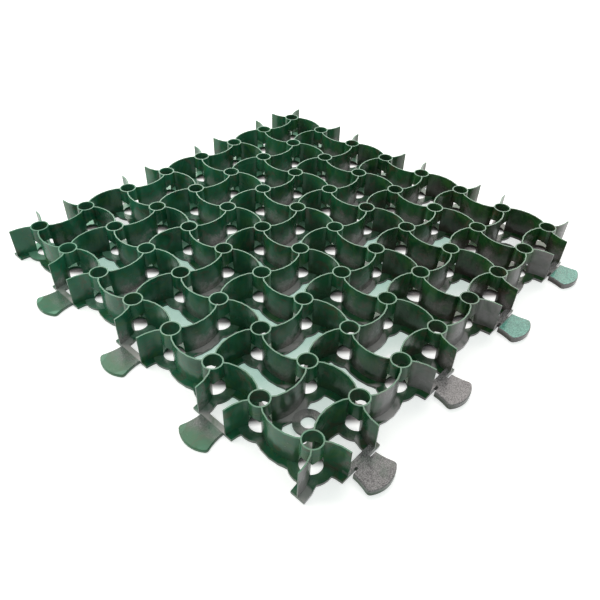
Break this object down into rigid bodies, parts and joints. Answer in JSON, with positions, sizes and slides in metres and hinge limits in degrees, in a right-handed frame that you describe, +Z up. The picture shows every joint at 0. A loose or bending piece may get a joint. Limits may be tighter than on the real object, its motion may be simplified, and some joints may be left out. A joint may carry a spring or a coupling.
{
  "type": "grass paver grid",
  "caption": "Square plastic grass paver module: waved walls between tapered tubes on a flanged foot, open planting cells, with edge tongues and sockets that lock it to the next module.",
  "frame": {"origin": "on the ground under the middle of the module's bounding box, tongues included", "axes": "+Z up from the ground; +X towards the edge with the high tongues; -Y towards the edge with the low tongues"},
  "size_m": [0.5299, 0.5299, 0.038],
  "materials": {
    "green_plastic": "semi-gloss moulded recycled polyethylene, dark green"
  },
  "bodies": {
    "root": {"paver_grid": "green_plastic"}
  },
  "joints": []
}
